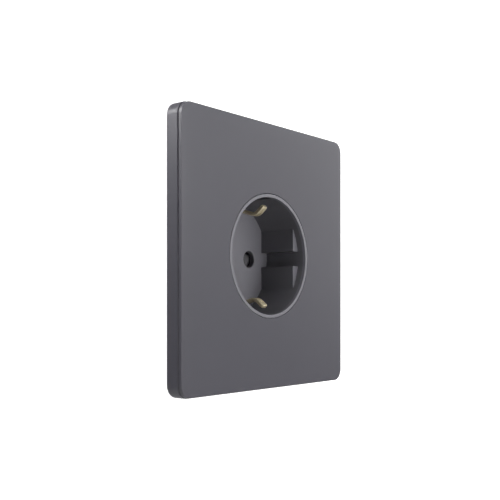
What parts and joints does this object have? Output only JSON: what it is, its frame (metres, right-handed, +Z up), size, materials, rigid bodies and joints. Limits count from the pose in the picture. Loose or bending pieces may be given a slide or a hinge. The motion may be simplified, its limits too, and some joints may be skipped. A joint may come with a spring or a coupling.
{
  "type": "wall socket",
  "caption": "Flush wall socket with a round recessed well, side earth contacts, shuttered pin holes and a two-layer plate.",
  "frame": {"origin": "on the wall surface, midway between the two box screws, on the well's axis", "axes": "-Y out of the wall towards the room, +X right as seen from the room, +Z up"},
  "size_m": [0.0826, 0.0391, 0.0864],
  "materials": {
    "cover_plastic": "fine matt graphite, smooth moulded",
    "ring_plastic": "satin, a shade lighter than the cover",
    "well_plastic": "satin moulded graphite",
    "shutter_plastic": "satin moulded",
    "cage_plastic": "natural nylon",
    "base_plastic": "light grey glass-filled moulding",
    "yoke_steel": "galvanised sheet, small spangle",
    "screw_steel": "zinc plated",
    "spring_steel": "drawn spring wire",
    "clamp_steel": "zinc plated",
    "earth_brass": "stamped strip, slightly dulled",
    "contact_brass": "stamped strip"
  },
  "bodies": {
    "housing": {"front_panel": "cover_plastic", "cover_frame": "cover_plastic", "well_ring": "ring_plastic", "socket_cup": "well_plastic", "shutter_spring": "spring_steel", "shutter_cage": "cage_plastic", "cage_screws": "screw_steel", "support_yoke": "yoke_steel", "cup_screws": "screw_steel", "yoke_screws": "screw_steel", "base_housing": "base_plastic", "earth_bracket": "earth_brass", "line_contact": "contact_brass", "neutral_contact": "contact_brass", "line_spring_clip": "spring_steel", "neutral_spring_clip": "spring_steel", "line_clamp": "clamp_steel", "neutral_clamp": "clamp_steel", "earth_clamp": "clamp_steel", "line_terminal_screw": "screw_steel", "neutral_terminal_screw": "screw_steel", "earth_terminal_screw": "screw_steel"},
    "shutter": {"shutter": "shutter_plastic"}
  },
  "joints": [
    {"name": "shutter_turn", "type": "hinge", "parent": "housing", "child": "shutter", "pos_m": [0, 0.0153, 0], "axis": [0, 1, 0], "range_deg": [0, 38], "stiffness_Nm_per_rad": 0.002, "springref_deg": -20.05, "deforming": ["shutter_spring"]}
  ]
}
